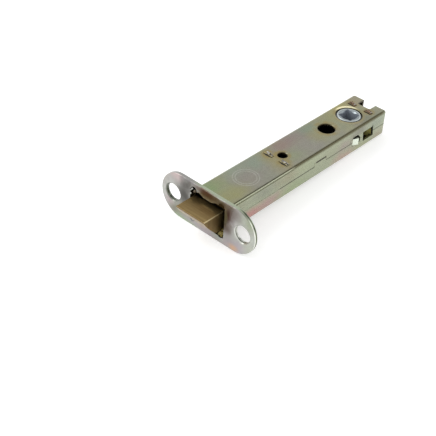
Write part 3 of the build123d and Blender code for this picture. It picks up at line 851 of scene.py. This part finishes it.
def make_bracket_material():
    """Cross plate seen through the side window: the same olive film in shade."""
    material, tree, shader, where = start_metal("passivated_rear_bracket", 0.1, 0.5)
    cloudy = patches(tree, where, 3.0, 0.3, 0.7)
    inside = blend_colour(tree, cloudy, WINDOW_YELLOW, WINDOW_OLIVE)
    divider = band(tree, where, 0, *WINDOW_DIVIDER, 0.15)
    inside = blend_colour(tree, divider, inside, PEEN_BROWN)
    within = inside_case(tree, where)
    colour = blend_colour(tree, within, TENON_RUST, inside)
    metallic = put(tree, "ShaderNodeMapRange", {"Value": within, "To Min": 0.9, "To Max": 0.1})
    tree.links.new(metallic.outputs[0], shader.inputs["Metallic"])
    finish_metal(tree, shader, colour, where, PALE_LIT_GREEN, 0.01, rough=(0.4, 0.6))
    return material


def make_peen_material(tone, colour, edge_share):
    """Bare peened steel with brown in its hollows, its high spots rubbed bright and partly painted
    as highlights.
    """
    material, tree, shader, where = start_metal(f"peened_{tone}", 0.85, 0.4)
    worn = patches(tree, where, 1.1, 0.35, 0.6)
    colour = blend_colour(tree, worn, colour, PEEN_BROWN)
    finish_metal(tree, shader, colour, where, GLINT, 0.04, edge_share=edge_share, rough=(0.3, 0.45))
    return material


def make_burr_material(tone, colour, metallic):
    """Metal squeezed into the opening's corners when the forend was staked on."""
    material, tree, shader, where = start_metal(f"burr_{tone}", metallic, 0.4)
    darker = tuple(c * 0.4 for c in colour)
    mottled = blend_colour(tree, patches(tree, where, 0.8, 0.35, 0.6), colour, darker)
    finish_metal(tree, shader, mottled, where, colour, 0.03, edge_share=0.3, rough=(0.3, 0.45))
    return material


def make_gap_material():
    """The unlit gap beside a tenon."""
    material, tree, shader, where = start_metal("gap_shadow", 0.0, 0.9)
    cloudy = patches(tree, where, 1.0, 0.3, 0.7)
    colour = blend_colour(tree, cloudy, GAP_BLACK, GAP_BROWN)
    tree.links.new(colour, shader.inputs["Base Color"])
    return material


peen_finish = make_peen_material("grey", PEEN_GREY, 0.8)
rusty_finish = make_peen_material("rusty", PEEN_RUST, 0.3)
gap_finish = make_gap_material()
dress("mid_bracket", make_case_material("passivated_mid_bracket"))
dress("lever_spring_stop", make_case_material("passivated_spring_stop"))
dress("rear_bracket", make_bracket_material())

bm = bmesh.new()
seed = 1.0
for x, tenon_y, length, tone in STAKES:
    for side in (-1, 1):
        for level in (-1, 1):
            y = side * tenon_y
            z = level * CASE_TOP
            lump(bm, (x + 0.15, y, z), (1.8, length, 1.10), 0.36, seed, slot=tone)
            lump(bm, (x + 0.75, y + 0.34 * length, z), (1.3, 1.5, 1.20), 0.20, seed + 1, slot=tone)
            lump(bm, (x - 0.1, y - 0.42 * length, z), (1.7, 1.2, 1.00), 0.20, seed + 2)
            lump(bm, (x - 1.10, y + 0.2, z), (1.40, length - 0.2, 0.50), 0.08, seed, slot=GAP_SLOT)
            seed += 3.1
stakes = finish_piece("peened_tenons", bm, "case", peen_finish)
stakes.data.materials.append(gap_finish)
stakes.data.materials.append(rusty_finish)

# Lumps in the corners of the forend's opening: place, size and finish.
BRIGHT_SLOT, BROWN_SLOT, OLIVE_SLOT, SILVER_SLOT = range(4)
OPENING_BURRS = (
    (0.35, 11.0, 5.6, 1.0, BRIGHT_SLOT),
    (0.30, 10.9, 7.6, 0.9, BRIGHT_SLOT),
    (0.30, 10.0, 8.9, 0.9, BRIGHT_SLOT),
    (0.70, 8.6, 7.8, 1.7, BROWN_SLOT),
    (0.70, 7.0, 8.3, 1.2, BROWN_SLOT),
    (0.80, -8.3, -7.9, 1.8, OLIVE_SLOT),
    (0.90, -10.0, -6.4, 2.0, OLIVE_SLOT),
    (0.70, -9.5, -8.3, 1.5, OLIVE_SLOT),
    (0.90, -9.1, -6.9, 1.9, OLIVE_SLOT),
    (0.90, -10.9, -4.9, 1.2, OLIVE_SLOT),
    (0.90, -10.0, -4.6, 1.4, OLIVE_SLOT),
    (0.55, 9.2, -8.9, 2.6, SILVER_SLOT),
)
bm = bmesh.new()
for x, y, z, size, slot in OPENING_BURRS:
    lump(bm, (x, y, z), (size * 0.9, size, size), 0.2, x * 7 + y, slot=slot)
bright_burr = make_burr_material("bright", GLINT, 0.9)
burrs = finish_piece("opening_corner_burrs", bm, "case", bright_burr)
burrs.data.materials.append(make_burr_material("brown", BURR_BROWN, 0.6))
burrs.data.materials.append(make_burr_material("olive", BURR_OLIVE, 0.6))
burrs.data.materials.append(make_burr_material("silver", BURR_SILVER, 0.7))


# Springs
# Two hard-drawn steel compression springs on the rod's axis with closed ends: the light one
# throws the bolt out, the heavy one behind it brings the lever handles back.
SPRING_STEEL = (0.130, 0.130, 0.135)
WIRE_LIGHT = (0.200, 0.200, 0.200)
WIRE_EDGE = (0.300, 0.300, 0.300)
STEPS_A_TURN = 28
BOLT_WIRE, BOLT_TURNS_EACH = 0.8, 7
LEVER_WIRE, LEVER_TURNS = 1.1, 9
COIL_LAP = 0.4


def make_wire_material():
    """Oiled spring wire, dark and fairly bright."""
    material, tree, shader, where = start_metal("spring_wire", 1.0, 0.3)
    cloudy = patches(tree, where, 1.5, 0.3, 0.7)
    colour = blend_colour(tree, cloudy, SPRING_STEEL, WIRE_LIGHT)
    finish_metal(tree, shader, colour, where, WIRE_EDGE, 0.005)
    return material


def wind_spring(start, end, outside, wire, turns, closed_ends):
    """A spring along X: a wire section screwed about the axis, with closed coils at its ends."""
    bm = bmesh.new()
    ring = bmesh.ops.create_circle(bm, cap_ends=True, segments=12, radius=wire / 2 * MM)
    geom = list({v for v in ring["verts"]} | {e for v in ring["verts"] for e in v.link_edges})
    geom += list({f for v in ring["verts"] for f in v.link_faces})
    turn = Matrix.Rotation(math.radians(90), 4, "X")
    bmesh.ops.transform(bm, matrix=turn, verts=ring["verts"])
    radius = (outside - wire) / 2
    bmesh.ops.translate(bm, vec=Vector((start + wire / 2, 0, radius)) * MM, verts=ring["verts"])
    free_turns = turns - sum(closed_ends)
    rise = end - start - wire - sum(closed_ends) * wire
    stretches = [(closed_ends[0], wire), (free_turns, rise / free_turns), (closed_ends[1], wire)]
    for count, pitch in stretches:
        if count == 0:
            continue
        made = bmesh.ops.spin(
            bm,
            geom=geom,
            cent=(0, 0, 0),
            axis=(1, 0, 0),
            dvec=Vector((pitch / STEPS_A_TURN * MM, 0, 0)),
            angle=math.radians(360 * count),
            steps=STEPS_A_TURN * count,
            use_merge=False,
            use_duplicate=False,
        )
        geom = made["geom_last"]
    bmesh.ops.remove_doubles(bm, verts=bm.verts, dist=0.002 * MM)
    return bm


wire_finish = make_wire_material()


# Bolt
# A drawn brass bolt, bevelled underneath and flat on top, pinned to the steel rod behind it.
# The brass is satin from the draw bench and has gone brown in handling.
bolt_nose = box_mm("latch_bolt")[0][0]
BRASS = (0.330, 0.235, 0.100)
BRASS_DARK = (0.240, 0.165, 0.068)
BRASS_NOSE = (0.130, 0.088, 0.038)
BRASS_INSIDE_SHADE = (0.012, 0.010, 0.006)
BRASS_EDGE_HIGHLIGHT = (0.700, 0.580, 0.330)


def make_brass_material():
    """Tarnished satin brass, drawn across, with a painted highlight on its near edge and painted
    shade inside the latch.
    """
    material, tree, shader, where = start_metal("satin_brass", 0.95, 0.34)
    across = put(tree, "ShaderNodeMapping", {"Vector": where, "Scale": (1.0, 0.06, 0.06)})
    streak = patches(tree, across.outputs[0], 1.2, 0.25, 0.75, detail=4.0)
    colour = blend_colour(tree, streak, BRASS, BRASS_DARK)
    # A painted highlight along the bolt's near top edge.
    brightened_edge = overlap(
        tree, band(tree, where, 1, -9.6, -8.65, 0.12), band(tree, where, 2, 5.0, 9.0, 0.1)
    )
    colour = blend_colour(tree, brightened_edge, colour, BRASS_EDGE_HIGHLIGHT)
    nose = band(tree, where, 0, -20.0, bolt_nose + 0.12, 0.08)
    colour = blend_colour(tree, nose, colour, BRASS_NOSE)
    # The shade inside the opening starts on a slanting, wavering line across the bolt.
    wave = put(tree, "ShaderNodeTexNoise", {"Vector": where, "Scale": 260.0, "Detail": 3.0})
    place = put(tree, "ShaderNodeSeparateXYZ", {0: where})
    edge = put(
        tree,
        "ShaderNodeMath",
        {0: wave.outputs[0], 1: 0.0032, 2: place.outputs[0]},
        operation="MULTIPLY_ADD",
    )
    for axis, slope in ((1, 0.11), (2, 0.20)):
        edge = put(
            tree,
            "ShaderNodeMath",
            {0: place.outputs[axis], 1: slope, 2: edge.outputs[0]},
            operation="MULTIPLY_ADD",
        )
    shaded_inside = put(
        tree,
        "ShaderNodeMapRange",
        {"Value": edge.outputs[0], "From Min": 0.0030, "From Max": 0.0048},
    )
    colour = blend_colour(tree, shaded_inside.outputs[0], colour, BRASS_INSIDE_SHADE)
    finish_metal(tree, shader, colour, where, BRASS, 0.01, edge_share=0.5, rough=(0.28, 0.40))
    return material


dress("latch_bolt", make_brass_material())


# Rod, washers and clip
# Bright drawn rod with its cross pin, the washer and open clip behind the retractor's ear, and
# the four pressed washers that the springs bear on.
BRIGHT_ZINC = (0.480, 0.490, 0.500)


def make_bright_material(name, base, rough):
    """Bright zinc plate, faintly blue, with a soft cloudy film."""
    material, tree, shader, where = start_metal(name, 1.0, rough[0])
    darker = tuple(c * 0.8 for c in base)
    colour = blend_colour(tree, patches(tree, where, 3.0, 0.3, 0.7), base, darker)
    brighter = tuple(min(1.0, c * 1.4) for c in base)
    finish_metal(tree, shader, colour, where, brighter, 0.006, rough=rough)
    return material


bright_finish = make_bright_material("bright_zinc", BRIGHT_ZINC, (0.25, 0.4))
for node in (
    "bolt_cross_pin",
    "draw_rod",
    "draw_washer",
    "bolt_spring_front_seat",
    "bolt_spring_rear_seat",
    "lever_spring_front_seat",
    "lever_spring_rear_seat",
):
    dress(node, bright_finish)
dress("draw_clip", wire_finish)

low, high = box_mm("bolt_spring")
middle = (low[0] + high[0]) / 2
spring_outside = high[2] - low[2]
front_coils = finish_piece(
    "bolt_spring_front_coils",
    wind_spring(low[0], middle + COIL_LAP, spring_outside, BOLT_WIRE, BOLT_TURNS_EACH, (1, 0)),
    None,
    wire_finish,
)
rear_coils = finish_piece(
    "bolt_spring_rear_coils",
    wind_spring(middle - COIL_LAP, high[0], spring_outside, BOLT_WIRE, BOLT_TURNS_EACH, (0, 1)),
    "case",
    wire_finish,
)
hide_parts("bolt_spring")
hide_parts("bolt_spring")
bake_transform(front_coils)
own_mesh(rear_coils)
low, high = box_mm("lever_spring")
lever_coils = finish_piece(
    "lever_spring_coils",
    wind_spring(low[0], high[0], high[2] - low[2], LEVER_WIRE, LEVER_TURNS, (1, 1)),
    "case",
    wire_finish,
)
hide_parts("lever_spring")
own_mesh(lever_coils)


# Retractor
# A steel fork, stamped and folded, that slides on the floor of the case. It is left oily and
# shows only as a dark surface through the holes.
OILED_STEEL = (0.050, 0.048, 0.042)
dress("retractor", make_bright_material("oiled_retractor", OILED_STEEL, (0.4, 0.55)))


# Follower
# A die-cast zinc hub with the spindle's square through it, turned in the case's round holes.
# Its face is bright and faintly blue; the square's walls keep the dull skin of the casting.
HUB_FACE = (0.330, 0.370, 0.385)
HUB_WALL = (0.260, 0.290, 0.330)
HUB_RIM_HIGHLIGHT = (0.640, 0.690, 0.680)
HUB_EDGE_SHADE = (0.040, 0.036, 0.026)
CHAMFER_RADIUS = 5.95
HUB_EDGE_RADIUS = 7.1
SPINDLE_HALF = 4.15


def make_follower_material():
    """Cast zinc: bright face, painted highlight on the chamfer, dull square, painted shade at its
    running edge.
    """
    material, tree, shader, where = start_metal("cast_zinc", 1.0, 0.34)
    cloudy = patches(tree, where, 2.4, 0.3, 0.7)
    colour = blend_colour(tree, cloudy, HUB_FACE, tuple(c * 0.8 for c in HUB_FACE))
    # A painted highlight on the chamfer.
    rim = ring_mask(tree, where, (FOLLOWER_X, 0.0), CHAMFER_RADIUS, 0.45)
    colour = blend_colour(tree, rim, colour, HUB_RIM_HIGHLIGHT)
    # Painted shade at the hub's edge, in the gap to the case's hole.
    shaded_edge = ring_mask(tree, where, (FOLLOWER_X, 0.0), HUB_EDGE_RADIUS, 0.85)
    sharper = put(
        tree, "ShaderNodeMath", {0: shaded_edge, 1: 3.0}, operation="MULTIPLY", use_clamp=True
    )
    colour = blend_colour(tree, sharper.outputs[0], colour, HUB_EDGE_SHADE)
    # Painted shade inside the case.
    colour = blend_colour(tree, inside_case(tree, where), colour, INSIDE_SHADE)
    walls = overlap(
        tree,
        band(tree, where, 0, FOLLOWER_X - SPINDLE_HALF, FOLLOWER_X + SPINDLE_HALF, 0.06),
        band(tree, where, 1, -SPINDLE_HALF, SPINDLE_HALF, 0.06),
    )
    colour = blend_colour(tree, walls, colour, HUB_WALL)
    shine = put(tree, "ShaderNodeMapRange", {"Value": walls, "To Min": 1.0, "To Max": 0.1})
    tree.links.new(shine.outputs[0], shader.inputs["Metallic"])
    finish_metal(tree, shader, colour, where, HUB_RIM_HIGHLIGHT, 0.008, edge_share=0.7, rough=(0.28, 0.42))
    return material


dress("follower", make_follower_material())


# Floor, light and camera
# A pale floor under the latch as it lies, tilted so that the forend's edge and the rear
# tenons touch it, with soft studio light.
FLOOR_WHITE = (0.80, 0.80, 0.80)
FLOOR_GLOW = 0.45
FLOOR_HALF_WIDTH = 6.0
FOREND_BACK = 2.0
REAR_TENON_X = 118.7
rest_x, rest_z = FOREND_BACK, forend_low[2]
touch_x, touch_z = REAR_TENON_X, box_mm("rear_bracket")[0][2]
slope = math.atan2(touch_z - rest_z, touch_x - rest_x)

bm = bmesh.new()
bmesh.ops.create_grid(bm, x_segments=1, y_segments=1, size=FLOOR_HALF_WIDTH)
bmesh.ops.transform(
    bm,
    matrix=Matrix.Translation(Vector((rest_x, 0, rest_z)) * MM) @ Matrix.Rotation(-slope, 4, "Y"),
    verts=bm.verts,
)
floor_mesh = bpy.data.meshes.new("floor")
bm.to_mesh(floor_mesh)
bm.free()
floor = bpy.data.objects.new("floor", floor_mesh)
bpy.context.collection.objects.link(floor)

floor_material = bpy.data.materials.new("floor_white")
floor_material.use_nodes = True
tree = floor_material.node_tree
tree.nodes.clear()
light_path = put(tree, "ShaderNodeLightPath")
seen = put(
    tree,
    "ShaderNodeMath",
    {0: light_path.outputs["Is Camera Ray"], 1: light_path.outputs["Is Glossy Ray"]},
    operation="MAXIMUM",
)
seen = put(
    tree,
    "ShaderNodeMath",
    {0: seen.outputs[0], 1: light_path.outputs["Is Transmission Ray"]},
    operation="MAXIMUM",
)
glow = put(tree, "ShaderNodeMath", {0: seen.outputs[0], 1: FLOOR_GLOW}, operation="MULTIPLY")
matte = put(tree, "ShaderNodeBsdfDiffuse", {"Color": (*FLOOR_WHITE, 1.0)})
lift = put(tree, "ShaderNodeEmission", {"Color": (1.0, 1.0, 1.0, 1.0), "Strength": glow.outputs[0]})
total = put(tree, "ShaderNodeAddShader", {0: matte.outputs[0], 1: lift.outputs[0]})
put(tree, "ShaderNodeOutputMaterial", {"Surface": total.outputs[0]})
floor_mesh.materials.append(floor_material)

world = bpy.data.worlds.new("studio")
bpy.context.scene.world = world
world.use_nodes = True
sky = world.node_tree
backdrop = sky.nodes["Background"]
height = put(sky, "ShaderNodeSeparateXYZ", {0: put(sky, "ShaderNodeTexCoord").outputs["Generated"]})
shade = put(
    sky,
    "ShaderNodeMapRange",
    {"Value": height.outputs[2], "From Min": 0.25, "From Max": 1.0, "To Min": 1.15, "To Max": 0.60},
)


def sky_patch(direction, inner_degrees, outer_degrees):
    """Mask of a round soft-edged patch of sky."""
    facing = put(
        sky,
        "ShaderNodeVectorMath",
        {0: put(sky, "ShaderNodeTexCoord").outputs["Generated"], 1: Vector(direction).normalized()},
        operation="DOT_PRODUCT",
    )
    mask = put(
        sky,
        "ShaderNodeMapRange",
        {
            "Value": facing.outputs["Value"],
            "From Min": math.cos(math.radians(outer_degrees)),
            "From Max": math.cos(math.radians(inner_degrees)),
        },
    )
    return mask.outputs[0]


# Dark and bright patches of the studio that the metal mirrors: direction, the degrees from
# its middle at which it is whole and gone, and strength.
SKY_PATCHES = (
    ((0.59, -0.20, 0.78), 5, 14, 0.04),
    ((0.59, -0.82, 0.12), 4, 12, 0.04),
    ((0.59, -0.62, 0.51), 4, 12, 1.9),
)
level = shade.outputs[0]
for direction, paint_inner_shade, outer, strength in SKY_PATCHES:
    there = sky_patch(direction, paint_inner_shade, outer)
    mix = put(sky, "ShaderNodeMix", {0: there, 3: strength}, data_type="FLOAT")
    sky.links.new(level, mix.inputs[2])
    level = mix.outputs[0]
sky.links.new(level, backdrop.inputs["Strength"])
backdrop.inputs["Color"].default_value = (1.0, 1.0, 1.0, 1.0)


def soft_box(name, place, aim, size, power):
    """A square studio light, aimed at a point near the latch."""
    data = bpy.data.lights.new(name, "AREA")
    data.shape = "SQUARE"
    data.size = size
    data.energy = power
    lamp = bpy.data.objects.new(name, data)
    lamp.location = place
    lamp.rotation_euler = (Vector(aim) - Vector(place)).to_track_quat("-Z", "Y").to_euler()
    bpy.context.collection.objects.link(lamp)


soft_box("left_soft_box", (-0.35, 0.75, 0.75), (0.05, 0.0, 0.0), 0.7, 5.0)

CAMERA_AZIMUTH = 49.057
CAMERA_ELEVATION = 38.368
CAMERA_ROLL = 3.629
CAMERA_PLACE = (-0.2877, -0.2568, 0.3028)
SENSOR_WIDTH = 36.0
LENS_LENGTH = 86.23
az, el, roll = (math.radians(a) for a in (CAMERA_AZIMUTH, CAMERA_ELEVATION, CAMERA_ROLL))
ahead = Vector((math.sin(az) * math.cos(el), math.cos(az) * math.cos(el), -math.sin(el)))
level_right = Vector((math.cos(az), -math.sin(az), 0.0))
level_up = level_right.cross(ahead)
right = math.cos(roll) * level_right + math.sin(roll) * level_up
up = -math.sin(roll) * level_right + math.cos(roll) * level_up
camera_data = bpy.data.cameras.new("camera")
camera_data.sensor_width = SENSOR_WIDTH
camera_data.lens = LENS_LENGTH
camera = bpy.data.objects.new("camera", camera_data)
turn = Matrix((right, up, -ahead)).transposed().to_4x4()
camera.matrix_world = Matrix.Translation(CAMERA_PLACE) @ turn
bpy.context.collection.objects.link(camera)
bpy.context.scene.camera = camera
bpy.context.scene.view_settings.view_transform = "Standard"
